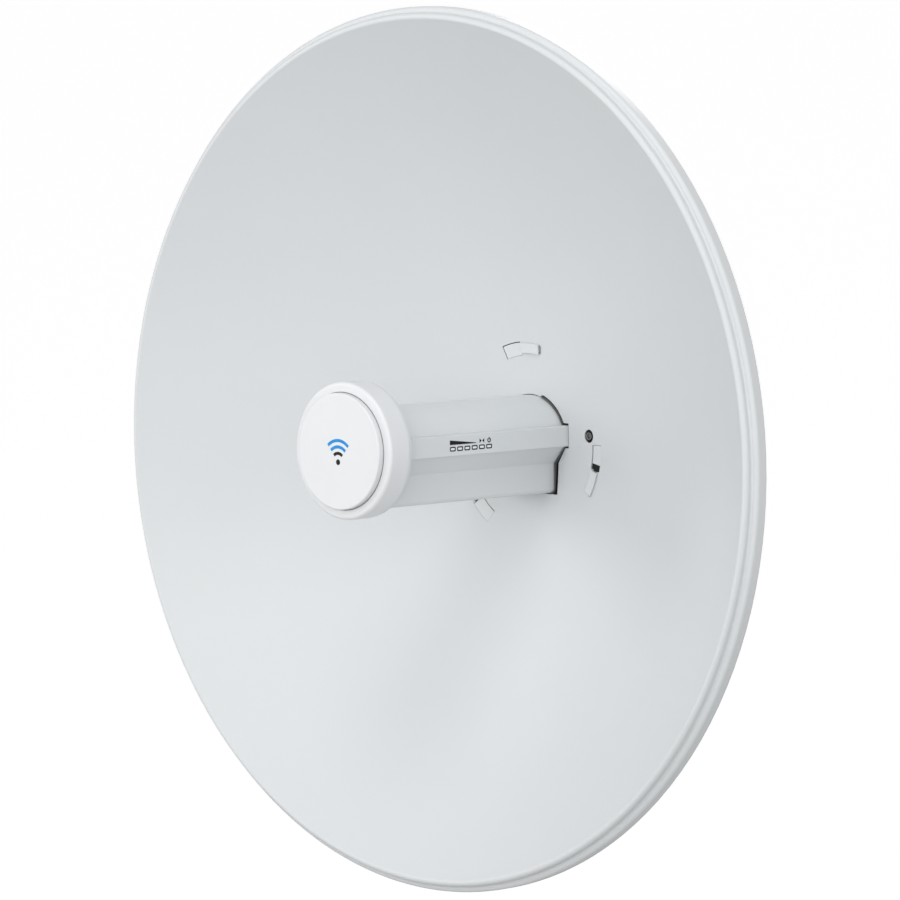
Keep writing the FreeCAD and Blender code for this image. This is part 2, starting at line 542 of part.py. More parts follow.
def rear_housing():
    contact = SHEET + GASKET + 0.05
    flange = bowl_layer(contact, contact + FLANGE_WALL, FLANGE_R)
    rim_y = bowl_y(FLANGE_R, contact + 0.5)
    rim = rod_y(FLANGE_R, rim_y, HUB_Y + 5, 0, 0).cut(rod_y(FLANGE_R - 2.5, rim_y - 1, HUB_Y + 6, 0, 0))
    outer = housing_box(0.0, HUB_Y - 8, BOX_REAR_Y).common(bowl_layer(contact, 60, FLANGE_R))
    gussets = []
    for i in range(8):
        gusset = box(24, FLANGE_R - 1, HUB_Y - 4, HUB_Y + 4.8, -1.1, 1.1)
        gusset.rotate(V(0, 0, 0), V(0, 1, 0), 22.5 + 45 * i)
        gussets.append(gusset.common(bowl_layer(contact + 0.5, 20, FLANGE_R)))
    x, z = LOCK_SCREW_AT
    boss = rod_y(5.0, HUB_Y + 1, HUB_Y + 10, x, z)
    body = join([flange, rim, outer, boss] + gussets)
    body = body.cut(housing_box(BOX_WALL, HUB_Y + 4.5, BOX_REAR_Y + 1))
    sleeve = tube_section(2.2, HUB_Y + 1.5, HUB_Y + 9.0)
    strip_guide = box(20, STRIP_X + 1.8, HUB_Y + 1.5, HUB_Y + 9, STRIP_LOW_Z - 1.6, STRIP_HIGH_Z + 1.6)
    collar = join([sleeve, strip_guide])
    shelf = box(-BOX_X + 1, BOX_X - 1, -72.0, -69.0, -12.0, 0.0)
    screw_posts = [rod_y(3.6, -80.0, -66.2, px, pz) for px, pz in rear_screw_places()]
    screw_posts += [box(min(px, 1.35 * px), max(px, 1.35 * px), -80.0, -66.2, pz - 1.2, pz + 1.2)
                    for px, pz in rear_screw_places()]
    body = join([body, collar, shelf, tilt_lug(1), tilt_lug(-1)] + screw_posts + bayonet_tabs()
                + hinge_knuckles(True))
    lock_y, lock_z = tilt_point(LOCK_REACH, 0)
    cuts = [tube_section(0.4, HUB_Y - 20, BOX_REAR_Y + 1),
            box(20, STRIP_X + 0.4, HUB_Y - 20, STRIP_REAR_Y + 0.6, STRIP_LOW_Z - 0.4, STRIP_HIGH_Z + 0.4),
            box(-13, 13, -91.0, -66.4, BOX_LOW_Z - 1, TUBE_BOTTOM_Z),
            box(-8.3, 8.3, -95.6, -91.4, BOX_HIGH_Z - 3, BOX_HIGH_Z + 1),
            rod_y(3.25, HUB_Y + 3.5, HUB_Y + 11, x, z), rod_y(2.3, HUB_Y - 12, HUB_Y + 5, x, z),
            rod_y(LOCK_HEAD_R + 0.1, HUB_Y - 12, LOCK_SEAT_Y, x, z),
            rod_x(PIVOT_R + FIT, -BOX_X - 1, BOX_X + 1, TILT_Y, TILT_Z),
            rod_x(LOCK_BOLT_R + 0.2, -BOX_X - 1, BOX_X + 1, lock_y, lock_z),
            rod_x(2.5, -BOX_X - 1, -BOX_X + 9, GROUND_Y, GROUND_Z)]
    cuts += [rod_y(1.3, -78.0, -66.0, px, pz) for px, pz in rear_screw_places()]
    ground_boss = rod_x(4.4, -BOX_X + 1, -BOX_X + 5.5, GROUND_Y, GROUND_Z)
    ground_boss = ground_boss.cut(rod_x(2.5, -BOX_X - 1, -BOX_X + 9, GROUND_Y, GROUND_Z))
    return join([body.cut(cuts), ground_boss.cut(tube_section(0.4, HUB_Y, BOX_REAR_Y))])


def rear_screw_places():
    return [(x, z) for x in (-20.5, 20.5) for z in (-28.0, 26.5)]


def hinge_knuckles(fixed):
    """The housing has the two outer knuckles of the port cover's hinge, the cover the inner one."""
    gap_x = KNUCKLE_HALF_X + GAP
    spans = [(-KNUCKLE_HALF_X, KNUCKLE_HALF_X)]
    if fixed:
        spans = [(-HINGE_HALF_X, -gap_x), (gap_x, HINGE_HALF_X)]
    knuckles = []
    for x0, x1 in spans:
        knuckle = rod_x(HINGE_R, x0, x1, HINGE_Y, HINGE_Z)
        if fixed:
            knuckle = join([knuckle, box(x0, x1, HINGE_Y - 2.2, HINGE_Y + 2.2, HINGE_Z, BOX_LOW_Z + 1)])
        bore = HINGE_PIN_R if fixed else HINGE_PIN_R + FIT
        knuckles.append(knuckle.cut(rod_x(bore, x0 - 1, x1 + 1, HINGE_Y, HINGE_Z)))
    return knuckles


def port_hinge_pin():
    return rod_x(HINGE_PIN_R, -HINGE_HALF_X, HINGE_HALF_X, HINGE_Y, HINGE_Z)


def port_cover():
    top = BOX_LOW_Z - GAP
    front = HINGE_Y + HINGE_R + 0.6
    plate = box(-15.5, 15.5, front, COVER_REAR_Y, top - 2.0, top)
    plate = soften(plate, 3.0, lambda e: runs_along(e, V(0, 0, 1)) and e.BoundBox.YMax > COVER_REAR_Y - 1)
    arm = box(-KNUCKLE_HALF_X, KNUCKLE_HALF_X, HINGE_Y, front + 1, HINGE_Z - 1.7, top - 0.3)
    arm = arm.cut(rod_x(HINGE_PIN_R + FIT, -10, 10, HINGE_Y, HINGE_Z))
    inner_lip = box(-12.4, 12.4, -90.4, -67.0, top, top + 1.6)
    inner_lip = inner_lip.cut(box(-10.9, 10.9, -88.9, -68.5, top - 1, top + 2))
    grip = box(-6, 6, COVER_REAR_Y - 0.01, COVER_REAR_Y + 1.6, top - 2.0, top - 0.6)
    cover = join([plate, arm, inner_lip, grip] + hinge_knuckles(False))
    return cover.cut(rod_z(5.0, top - 3, top + 3, 0, GROMMET_Y))


def cable_grommet():
    top = BOX_LOW_Z - GAP
    neck = rod_z(4.95, top - 2.1, top + 0.1, 0, GROMMET_Y)
    upper = rod_z(6.2, top + 0.02, top + 1.5, 0, GROMMET_Y)
    lower = Part.makeCone(4.6, 6.4, 2.6, V(0, GROMMET_Y, top - 4.62), V(0, 0, 1))
    return join([neck, upper, lower]).cut(rod_z(CABLE_R, top - 6, top + 3, 0, GROMMET_Y))


def rear_cover():
    y0, y1 = BOX_REAR_Y - 3.1, BOX_REAR_Y - 0.6
    plate = box(-LUG_INNER_X + 0.3, LUG_INNER_X - 0.3, y0, y1, BOX_LOW_Z + 3.0, BOX_HIGH_Z - 3.0)
    plate = soften(plate, 5.0, lambda e: runs_along(e, V(0, 1, 0)))
    ribs = [box(-12, 12, y1 - 0.01, y1 + 0.8, z, z + 1.2) for z in (-12.0, -6.0, 0.0, 6.0, 12.0)]
    holes = [rod_y(1.6, y0 - 1, y1 + 1, x, z) for x, z in rear_screw_places()]
    return join([plate] + ribs).cut(holes)


def rear_cover_screws():
    screws = []
    for x, z in rear_screw_places():
        y = BOX_REAR_Y - 0.6
        head = rod_y(2.8, y, y + 2.0, x, z)
        head = soften(head, 0.6, lambda e: e.BoundBox.YMin > y + 1.9)
        head = head.cut([box(x - 0.4, x + 0.4, y + 1, y + 3, z - 1.6, z + 1.6),
                         box(x - 1.6, x + 1.6, y + 1, y + 3, z - 0.4, z + 0.4)])
        screws.append(join([head, rod_y(1.28, y - 11.0, y, x, z)]))
    return Part.makeCompound(screws)


def ground_screw():
    x = -BOX_X
    head = rod_x(4.6, x - 3.4, x, GROUND_Y, GROUND_Z)
    head = soften(head, 0.8, lambda e: e.BoundBox.XMax < x - 3.3)
    washer = rod_x(5.6, x - 0.9, x, GROUND_Y, GROUND_Z)
    slot = box(x - 4, x - 2.2, GROUND_Y - 3.6, GROUND_Y + 3.6, GROUND_Z - 0.6, GROUND_Z + 0.6)
    return join([head, washer, rod_x(2.45, x, x + 8.0, GROUND_Y, GROUND_Z)]).cut(slot)


def release_latch():
    """A frame round the feed: the button on top pushes the cross bar out of the feed's groove."""
    y0, y1 = LATCH_FRONT_Y, LATCH_REAR_Y
    frame = box(-26.6, 26.6, y0, y1, -29.0, 29.6)
    frame = frame.cut(box(-23.6, 23.6, y0 - 1, y1 + 1, -25.2, 26.4))
    nose = box(-7.0, 7.0, y0, y1, -25.4, TUBE_BOTTOM_Z + 1.6)
    button = box(-8.0, 8.0, y0 - 0.3, y1 + 0.3, 28.0, BOX_HIGH_Z + 3.2)
    button = soften(button, 1.0, lambda e: e.BoundBox.ZMin > BOX_HIGH_Z + 3.1)
    frame = soften(frame, 5.0, lambda e: runs_along(e, V(0, 1, 0)) and abs(e.BoundBox.XMin) > 26)
    studs = [rod_z(1.0, -30.0, -29.0, x, (y0 + y1) / 2) for x in (-LATCH_SPRING_X, LATCH_SPRING_X)]
    return join([frame, nose, button] + studs)


def release_springs():
    springs = []
    for x in (-LATCH_SPRING_X, LATCH_SPRING_X):
        helix = Part.makeHelix(1.0, 3.2, 1.5)
        circle = Part.Wire(Part.makeCircle(0.25, V(1.5, 0, 0), V(0, 1, 0)))
        coil = Part.Wire(helix).makePipeShell([circle], True, True)
        coil.translate(V(x, (LATCH_FRONT_Y + LATCH_REAR_Y) / 2, -32.6))
        springs.append(coil)
    return Part.makeCompound(springs)


# ---- pole bracket --------------------------------------------------------------------------
def arc_slot(radius, half_width, x0, x1):
    """The curved slot that the tilt lock bolt travels in."""
    reach = TILT_LIMIT + 1.0
    ends = [tilt_point(radius, a) for a in (-reach, reach)]
    outer = rod_x(radius + half_width, x0, x1, TILT_Y, TILT_Z)
    ring = outer.cut(rod_x(radius - half_width, x0 - 1, x1 + 1, TILT_Y, TILT_Z))
    far = radius + 20
    a, b = tilt_point(far, -reach), tilt_point(far, reach)
    wedge = polygon_x([(TILT_Y, TILT_Z), a, b], x0 - 1, x1 + 1)
    return join([ring.common(wedge)] + [rod_x(half_width, x0, x1, y, z) for y, z in ends])


def yoke_bracket():
    rear = BASE_Y - HEAD_SHIFT
    front = rear - STEEL
    base = box(-BASE_HALF_X, BASE_HALF_X, front, rear, -BASE_HALF_Z, BASE_HALF_Z)
    base = soften(base, 6.0, lambda e: runs_along(e, V(0, 1, 0)))
    cuts = []
    arms = []
    for side in (-1, 1):
        x0, x1 = sorted((side * ARM_X, side * (ARM_X + STEEL)))
        arm = polygon_x([(rear - 1, -24), (-60, -28), (ARM_FRONT_Y, -24), (ARM_FRONT_Y, -6),
                         (-66, 18), (-60, 25), (-48, 26), (rear - 1, 24)], x0, x1)
        arms.append(soften(arm, 3.5, lambda e: runs_along(e, V(1, 0, 0)) and e.BoundBox.YMax < -40))
        cuts.append(box(x0 - 1, x1 + 1, front - 8.0, front, -10.6, 10.6))
        cuts.append(rod_x(PIVOT_R + FIT, x0 - 1, x1 + 1, TILT_Y, TILT_Z))
        cuts.append(arc_slot(LOCK_REACH, LOCK_BOLT_R + 0.4, x0 - 1, x1 + 1))
        bolt_x = side * CLAMP_BOLT_X
        cuts.append(box(bolt_x - 4.1, bolt_x + 4.1, front - 1, rear + 1, -4.1, 4.1))
        cuts.append(rod_y(2.5, front - 1, rear + 1, side * RIVET_X, 0))
    return join([base] + arms).cut(cuts)


def saddle(front_y, back_y, ear_front_y):
    """A cast jaw: two ears for the bolts and a block with the pole's hollow, toothed outside."""
    low, high = sorted((front_y, back_y))
    ears = box(-JAW_HALF_X, JAW_HALF_X, *sorted((ear_front_y, back_y)), -JAW_HALF_Z, JAW_HALF_Z)
    ears = soften(ears, 5.0, lambda e: runs_along(e, V(0, 1, 0)))
    block = box(-19.5, 19.5, low, high, -JAW_HALF_Z, JAW_HALF_Z)
    return join([ears, block])


def jaw_teeth(face_y):
    """Saw teeth beside the hollow, which bite on poles of other sizes."""
    teeth = []
    edge_x = math.sqrt(POLE_R ** 2 - face_y ** 2)
    root_y = face_y - math.copysign(0.1, face_y)
    for side in (-1, 1):
        for i in range(3):
            x = side * (edge_x - 1.6 + 1.2 * i)
            tip_y = root_y + math.copysign(2.1 - 0.35 * i, face_y)
            teeth.append(polygon_z([(x - 0.6, root_y), (x + 0.6, root_y), (x, tip_y)]))
    return teeth


def polygon_z(points):
    corners = [V(x, y, -JAW_HALF_Z - 1) for x, y in points]
    return Part.Face(Part.makePolygon(corners + corners[:1])).extrude(V(0, 0, 2 * JAW_HALF_Z + 2))


def fixed_jaw():
    block = saddle(JAW_FACE_Y, BASE_Y, JAW_FACE_Y - 9.5)
    holes = [rod_y(4.5, -40, 0, x, 0) for x in (-CLAMP_BOLT_X, CLAMP_BOLT_X)]
    hollow = rod_z(POLE_R, -30, 30, 0, 0)
    pockets = [box(x - 4, x + 4, BASE_Y - 1, BASE_Y + 3.2, z - 7, z + 7)
               for x in (-11.0, 0.0, 11.0) for z in (-14.0, 14.0)]
    rivets = [rod_y(2.5, BASE_Y - 1, RIVET_END_Y + 0.1, x, 0) for x in (-RIVET_X, RIVET_X)]
    return block.cut([hollow] + holes + pockets + rivets + jaw_teeth(JAW_FACE_Y))


def jaw_rivets():
    rivets = []
    for x in (-RIVET_X, RIVET_X):
        head = rod_y(4.2, BASE_Y - STEEL - 1.6, BASE_Y - STEEL, x, 0)
        head = soften(head, 1.2, lambda e: e.BoundBox.YMax < BASE_Y - STEEL - 1.5)
        rivets.append(join([head, rod_y(2.45, BASE_Y - STEEL, RIVET_END_Y, x, 0)]))
    return Part.makeCompound(rivets)


def pole_clamp():
    back = 31.5
    block = saddle(EAR_FRONT_Y, back, EAR_FRONT_Y)
    trim = [box(side * 19.5 if side > 0 else -JAW_HALF_X - 1, JAW_HALF_X + 1 if side > 0 else -19.5,
                EAR_REAR_Y, back + 1, -30, 30) for side in (-1, 1)]
    holes = [rod_y(4.5, 0, 50, x, 0) for x in (-CLAMP_BOLT_X, CLAMP_BOLT_X)]
    hollow = rod_z(POLE_R, -30, 30, 0, 0)
    pockets = [box(x - 4, x + 4, 26.5, back + 1, z - 8, z + 8)
               for x in (-12.0, 0.0, 12.0) for z in (-13.0, 13.0)]
    return block.cut(trim + [hollow] + holes + pockets + jaw_teeth(EAR_FRONT_Y))


def carriage_bolts():
    bolts = []
    for x in (-CLAMP_BOLT_X, CLAMP_BOLT_X):
        y0 = BASE_Y - STEEL
        dome = Part.makeSphere(13.0, V(x, y0 - 4.4 + 13.0, 0))
        head = rod_y(8.8, y0 - 6, y0, x, 0).common(dome)
        neck = box(x - 3.98, x + 3.98, y0, BASE_Y - 0.2, -3.98, 3.98)
        shank = rod_y(CLAMP_BOLT_R, BASE_Y - 0.2, BOLT_END_Y, x, 0)
        shank = shank.makeChamfer(0.8, [e for e in shank.Edges if e.BoundBox.YMin > BOLT_END_Y - 0.1])
        bolts.append(join([head, neck, shank]))
    return Part.makeCompound(bolts)


def washer(r_in, r_out, origin, along, thick):
    disc = Part.makeCylinder(r_out, thick, origin, along)
    return disc.cut(Part.makeCylinder(r_in, thick * 3, origin - along * thick, along))


def clamp_washers():
    return Part.makeCompound([washer(4.3, 8.0, V(x, EAR_REAR_Y, 0), V(0, 1, 0), 1.6)
                              for x in (-CLAMP_BOLT_X, CLAMP_BOLT_X)])


def clamp_nuts():
    nuts = []
    for x in (-CLAMP_BOLT_X, CLAMP_BOLT_X):
        y0 = EAR_REAR_Y + 1.6
        flange = Part.makeCone(8.4, 6.8, 2.0, V(x, y0, 0), V(0, 1, 0))
        nut = hexagon(13.0, V(x, y0 + 1.0, 0), V(0, 1, 0), 6.6)
        nut = nut.common(Part.makeCone(14.0, 6.6, 7.0, V(x, y0 + 0.8, 0), V(0, 1, 0)))
        bore = rod_y(CLAMP_BOLT_R + FIT, 0, 50, x, 0)
        nuts.append(join([flange, nut]).cut(bore))
    return Part.makeCompound(nuts)


def pivot_bolt():
    x0 = -ARM_X - STEEL
    head = hexagon(13.0, V(x0 - 1.6, TILT_Y, TILT_Z), V(-1, 0, 0), 5.3)
    head = head.common(Part.makeCone(9.5, 6.7, 5.4, V(x0 - 1.6, TILT_Y, TILT_Z), V(-1, 0, 0)))
    shank = rod_x(PIVOT_R, x0 - 1.6, ARM_X + STEEL + 11.5, TILT_Y, TILT_Z)
    return join([head, shank])


def pivot_nut():
    x0 = ARM_X + STEEL + 1.6
    nut = hexagon(13.0, V(x0, TILT_Y, TILT_Z), V(1, 0, 0), 6.8)
    nut = nut.common(Part.makeCone(9.5, 6.8, 6.9, V(x0, TILT_Y, TILT_Z), V(1, 0, 0)))
    return nut.cut(rod_x(PIVOT_R + 0.02, 0, 60, TILT_Y, TILT_Z))


def pivot_washers():
    x = ARM_X + STEEL
    return Part.makeCompound([washer(4.2, 8.5, V(-x, TILT_Y, TILT_Z), V(-1, 0, 0), 1.6),
                              washer(4.2, 8.5, V(x, TILT_Y, TILT_Z), V(1, 0, 0), 1.6)])


def lock_bolts():
    bolts = []
    y, z = tilt_point(LOCK_REACH, 0)
    for side in (-1, 1):
        out = V(side, 0, 0)
        seat = ARM_X + STEEL + 1.6
        start = V(side * seat, y, z)
        head = hexagon(10.0, start, out, 4.0).common(Part.makeCone(8.0, 5.3, 4.2, start, out))
        shank = Part.makeCylinder(LOCK_BOLT_R, seat - 19.0, V(side * 19.0, y, z), out)
        bolts.append(join([head, shank]))
    return Part.makeCompound(bolts)


def lock_washers():
    y, z = tilt_point(LOCK_REACH, 0)
    x = ARM_X + STEEL + 0.1
    return Part.makeCompound([washer(3.1, 7.0, V(side * x, y, z), V(side, 0, 0), 1.5)
                              for side in (-1, 1)])


def lock_nuts():
    y, z = tilt_point(LOCK_REACH, 0)
    nuts = []
    for side in (-1, 1):
        start = V(side * LUG_INNER_X, y, z)
        nut = hexagon(10.0, start, V(-side, 0, 0), 5.2)
        nut = nut.cut(Part.makeCylinder(LOCK_BOLT_R + 0.02, 20, V(side * 10, y, z), V(side, 0, 0)))
        nuts.append(nut)
    return Part.makeCompound(nuts)


# ---- write every piece ---------------------------------------------------------------------
PIECES = [dish_reflector, hub_gasket, dish_lock_screw, dish_lock_insert, feed_tube, feed_cap, cap_disc,
          cap_seal, splash_plate, waveguide, dielectric_plug, led_strip, light_pipes, radio_board,
          shield_can, thermal_pad, heat_spreader, board_screws, ethernet_jack, reset_switch,
          reset_button, feed_end_plug, rear_housing, rear_cover, rear_cover_screws, ground_screw,
          release_latch, release_springs, port_cover, port_hinge_pin, cable_grommet, yoke_bracket,
          fixed_jaw, jaw_rivets, pole_clamp, carriage_bolts, clamp_washers, clamp_nuts, pivot_bolt,
          pivot_nut, pivot_washers, lock_bolts, lock_washers, lock_nuts]
ON_POLE = [fixed_jaw, jaw_rivets, pole_clamp, carriage_bolts, clamp_washers, clamp_nuts]


def placed(piece):
    """A piece's solids, moved to where they stand on the object."""
    solids = piece().Solids
    shape = solids[0] if len(solids) == 1 else Part.makeCompound(solids)
    if piece not in ON_POLE:
        shape.translate(V(0, HEAD_SHIFT, 0))
    return shape


os.makedirs("parts", exist_ok=True)
for piece in PIECES:
    shape = placed(piece)
    print(piece.__name__, len(shape.Solids), "solid(s)", round(shape.Volume, 1), "mm3",
          "valid" if shape.isValid() else "NOT VALID")
    shape.exportStep(os.path.join("parts", piece.__name__ + ".step"))
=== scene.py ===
"""Looks of the outdoor wireless bridge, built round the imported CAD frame. Units are metres."""

import json
import math

import bmesh
import bpy
from mathutils import Matrix, Vector


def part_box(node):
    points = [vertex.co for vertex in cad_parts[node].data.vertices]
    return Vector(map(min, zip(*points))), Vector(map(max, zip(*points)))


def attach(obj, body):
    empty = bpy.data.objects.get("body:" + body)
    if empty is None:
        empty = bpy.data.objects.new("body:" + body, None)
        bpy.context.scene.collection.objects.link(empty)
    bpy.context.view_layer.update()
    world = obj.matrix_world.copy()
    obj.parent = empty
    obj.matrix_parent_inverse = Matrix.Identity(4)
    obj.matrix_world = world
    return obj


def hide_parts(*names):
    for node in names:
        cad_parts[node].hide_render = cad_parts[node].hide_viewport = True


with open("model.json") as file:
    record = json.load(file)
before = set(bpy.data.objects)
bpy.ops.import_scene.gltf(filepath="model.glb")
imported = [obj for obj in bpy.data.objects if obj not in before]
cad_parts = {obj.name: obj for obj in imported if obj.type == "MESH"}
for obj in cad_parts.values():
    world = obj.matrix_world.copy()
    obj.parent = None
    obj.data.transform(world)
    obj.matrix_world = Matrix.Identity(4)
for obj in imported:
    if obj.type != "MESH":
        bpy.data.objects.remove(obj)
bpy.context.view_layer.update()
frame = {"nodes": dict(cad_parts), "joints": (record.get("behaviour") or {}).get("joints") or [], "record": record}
nodes = frame["nodes"]
MM = 0.001
X, Y, Z = Vector((1, 0, 0)), Vector((0, 1, 0)), Vector((0, 0, 1))


# ---- places, read from the frame -------------------------------------------------------
dish_low, dish_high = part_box("dish_reflector")
disc_low, disc_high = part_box("cap_disc")
screw_low, screw_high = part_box("dish_lock_screw")
pipes_low, pipes_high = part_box("light_pipes")
bolt_low, bolt_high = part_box("carriage_bolts")
latch_low, latch_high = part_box("release_latch")
strip_face_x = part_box("led_strip")[1].x
cap_face_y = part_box("feed_cap")[0].y
pivot = next(Vector(j["pos_m"]) for j in frame["joints"] if j["name"] == "elevation_tilt")

RIM_FRONT = Vector((0, dish_low.y, 0))      # middle of the rim's front plane
DISC_CENTER = (disc_low + disc_high) / 2
DISC_RADIUS = (disc_high.x - disc_low.x) / 2


# ---- camera: the photograph's view -----------------------------------------------------
CAMERA_AZIMUTH, CAMERA_ELEVATION = 45.26, 4.95      # degrees
CAMERA_DISTANCE, LENS, SENSOR = 2.5, 211.3, 36.0
CLIP_START, CLIP_END = 0.05, 4000.0
AIM_RIGHT, AIM_UP = 13.5 * MM, 0.7 * MM     # where the picture's middle is from the rim's middle


def direction(azimuth, elevation):
    """The unit vector towards an azimuth and an elevation in degrees, where 0, 0 is the front."""
    a, e = math.radians(azimuth), math.radians(elevation)
    return Vector((math.sin(a) * math.cos(e), -math.cos(a) * math.cos(e), math.sin(e)))


def add_camera():
    back = direction(CAMERA_AZIMUTH, CAMERA_ELEVATION)
    right = direction(CAMERA_AZIMUTH + 90, 0)
    up = back.cross(right)
    data = bpy.data.cameras.new("camera")
    data.lens, data.sensor_width = LENS, SENSOR
    data.clip_start, data.clip_end = CLIP_START, CLIP_END
    camera = bpy.data.objects.new("camera", data)
    bpy.context.scene.collection.objects.link(camera)
    camera.matrix_world = Matrix((right, up, back)).transposed().to_4x4()
    camera.location = RIM_FRONT + back * CAMERA_DISTANCE + right * AIM_RIGHT + up * AIM_UP
    bpy.context.scene.camera = camera


add_camera()


# ---- materials ---------------------------------------------------------------------------
WORN_RADIUS, WORN_BLUR = 1.85 * MM, 0.2 * MM                # grey ring on the black screw
LIP_BALL_Y, LIP_BALL_RADIUS = -379.0 * MM, 278.1 * MM       # marks off the gasket lip's front edge for its painted highlight
LIP_BLUR = 0.1 * MM
FLOOR_NEAR, FLOOR_FAR, FLOOR_GLOW = 1.4, 2.6, 0.35          # where the floor turns from a darker grey near the object, a painted shade, to pale with a painted glow


class Paint:
    """A principled material with small helpers that add procedural detail to it."""

    def __init__(self, name, color, roughness, metallic=0.0):
        self.material = bpy.data.materials.new(name)
        self.material.use_nodes = True
        self.tree = self.material.node_tree
        self.shader = self.tree.nodes["Principled BSDF"]
        self.shader.inputs["Base Color"].default_value = (*color, 1)
        self.shader.inputs["Roughness"].default_value = roughness
        self.shader.inputs["Metallic"].default_value = metallic
        self.color, self.roughness = color, roughness
        self.place = self.add("ShaderNodeTexCoord").outputs["Object"]
        self.height = None

    def add(self, kind, **values):
        node = self.tree.nodes.new(kind)
        for key, value in values.items():
            setattr(node, key, value)
        return node

    def link(self, source, target):
        self.tree.links.new(source, target)

    def noise(self, scale, detail=3.0, rough=0.55, stretch=None):
        node = self.add("ShaderNodeTexNoise")
        node.inputs["Scale"].default_value = scale
        node.inputs["Detail"].default_value = detail
        node.inputs["Roughness"].default_value = rough
        source = self.place
        if stretch:
            mapping = self.add("ShaderNodeMapping")
            mapping.inputs["Scale"].default_value = stretch
            self.link(source, mapping.inputs["Vector"])
            source = mapping.outputs["Vector"]
        self.link(source, node.inputs["Vector"])
        return node.outputs["Fac"]

    def cells(self, scale, feature="F1", output="Distance"):
        node = self.add("ShaderNodeTexVoronoi", feature=feature)
        node.inputs["Scale"].default_value = scale
        self.link(self.place, node.inputs["Vector"])
        return node.outputs[output]

    def reach(self, center, weights=(1, 1, 1)):
        """The distance from a point, with each axis weighted."""
        flat = self.add("ShaderNodeVectorMath", operation="MULTIPLY")
        flat.inputs[1].default_value = weights
        self.link(self.place, flat.inputs[0])
        distance = self.add("ShaderNodeVectorMath", operation="DISTANCE")
        distance.inputs[1].default_value = center
        self.link(flat.outputs["Vector"], distance.inputs[0])
        return distance.outputs["Value"]

    def remap(self, value, low, high, from_low=0.3, from_high=0.7):
        node = self.add("ShaderNodeMapRange")
        node.inputs["From Min"].default_value = from_low
        node.inputs["From Max"].default_value = from_high
        node.inputs["To Min"].default_value = low
        node.inputs["To Max"].default_value = high
        self.link(value, node.inputs["Value"])
        return node.outputs["Result"]

    def tint(self, value, other, low=0.3, high=0.7):
        """Varies the base colour towards another colour, where value runs from low to high."""
        mix = self.add("ShaderNodeMix", data_type="RGBA")
        base = self.shader.inputs["Base Color"]
        if base.is_linked:
            self.link(base.links[0].from_socket, mix.inputs["A"])
        else:
            mix.inputs["A"].default_value = (*self.color, 1)
        mix.inputs["B"].default_value = (*other, 1)
        self.link(self.remap(value, 0.0, 1.0, low, high), mix.inputs["Factor"])
        self.link(mix.outputs["Result"], base)
        return self

    def vary_roughness(self, value, spread):
        result = self.remap(value, self.roughness - spread, self.roughness + spread)
        self.link(result, self.shader.inputs["Roughness"])
        return self

    def bump(self, value, distance, strength=1.0):
        """Adds relief of a given height, in metres, over what is already there."""
        node = self.add("ShaderNodeBump")
        node.inputs["Distance"].default_value = distance
        node.inputs["Strength"].default_value = strength
        self.link(value, node.inputs["Height"])
        if self.height is not None:
            self.link(self.height, node.inputs["Normal"])
        self.height = node.outputs["Normal"]
        self.link(self.height, self.shader.inputs["Normal"])
        return self

    def soft_edges(self, radius):
        """Rounds hard edges in the shading, as a moulded or cast piece has them."""
        node = self.add("ShaderNodeBevel", samples=4)
        node.inputs["Radius"].default_value = radius
        self.height = node.outputs["Normal"]
        self.link(self.height, self.shader.inputs["Normal"])
        return self

    def set(self, **values):
        for key, value in values.items():
            self.shader.inputs[key.replace("_", " ")].default_value = value
        return self


def powder_coat():
    paint = Paint("powder_coat", (0.60, 0.618, 0.628), 0.42)
    paint.tint(paint.noise(9.0, 2.0), (0.588, 0.608, 0.620))
    paint.vary_roughness(paint.noise(40.0), 0.03)
    paint.bump(paint.noise(520.0, 2.0, 0.5), 0.00003, 0.35)
    return paint.set(Specular_IOR_Level=0.5).material


def shell_plastic():
    paint = Paint("shell_plastic", (0.635, 0.655, 0.662), 0.42).soft_edges(0.0003)
    paint.tint(paint.noise(30.0), (0.62, 0.642, 0.65))
    paint.vary_roughness(paint.noise(160.0), 0.04)
    paint.bump(paint.noise(2600.0, 2.0, 0.6), 0.00002, 0.4)
    return paint.material


def cap_plastic():
    paint = Paint("cap_plastic", (0.70, 0.71, 0.725), 0.34).soft_edges(0.0003)
    paint.tint(paint.noise(25.0), (0.685, 0.697, 0.712))
    paint.vary_roughness(paint.noise(120.0), 0.04)
    paint.bump(paint.noise(2200.0, 2.0, 0.6), 0.000012, 0.35)
    return paint.material


def zinc_steel():
    paint = Paint("zinc_steel", (0.40, 0.415, 0.435), 0.40, 1.0).soft_edges(0.0004)
    spangle = paint.cells(95.0, output="Color")
    paint.tint(spangle, (0.56, 0.58, 0.60), 0.1, 0.9)
    paint.tint(paint.noise(14.0), (0.34, 0.355, 0.37), 0.45, 0.8)
    paint.vary_roughness(spangle, 0.09)
    paint.bump(paint.noise(900.0, 4.0), 0.00003, 0.35)
    return paint.material


def cast_aluminium():
    paint = Paint("cast_aluminium", (0.34, 0.345, 0.35), 0.48, 1.0).soft_edges(0.0008)
    paint.tint(paint.noise(60.0, 5.0), (0.27, 0.273, 0.277), 0.35, 0.75)
    paint.vary_roughness(paint.noise(220.0), 0.08)
    paint.bump(paint.cells(1100.0), 0.00012, 0.45)
    paint.bump(paint.noise(350.0, 5.0), 0.00012, 0.4)
    return paint.material


def plated_bolt():
    paint = Paint("plated_bolt", (0.72, 0.725, 0.73), 0.27, 1.0).soft_edges(0.0003)
    paint.tint(paint.noise(260.0, 4.0), (0.60, 0.60, 0.585), 0.4, 0.8)
    paint.tint(paint.noise(45.0), (0.70, 0.69, 0.62), 0.5, 0.9)
    paint.vary_roughness(paint.noise(500.0, 4.0), 0.08)
    paint.bump(paint.noise(1500.0, 3.0, stretch=(1, 0.1, 1)), 0.00002, 0.4)
    return paint.material


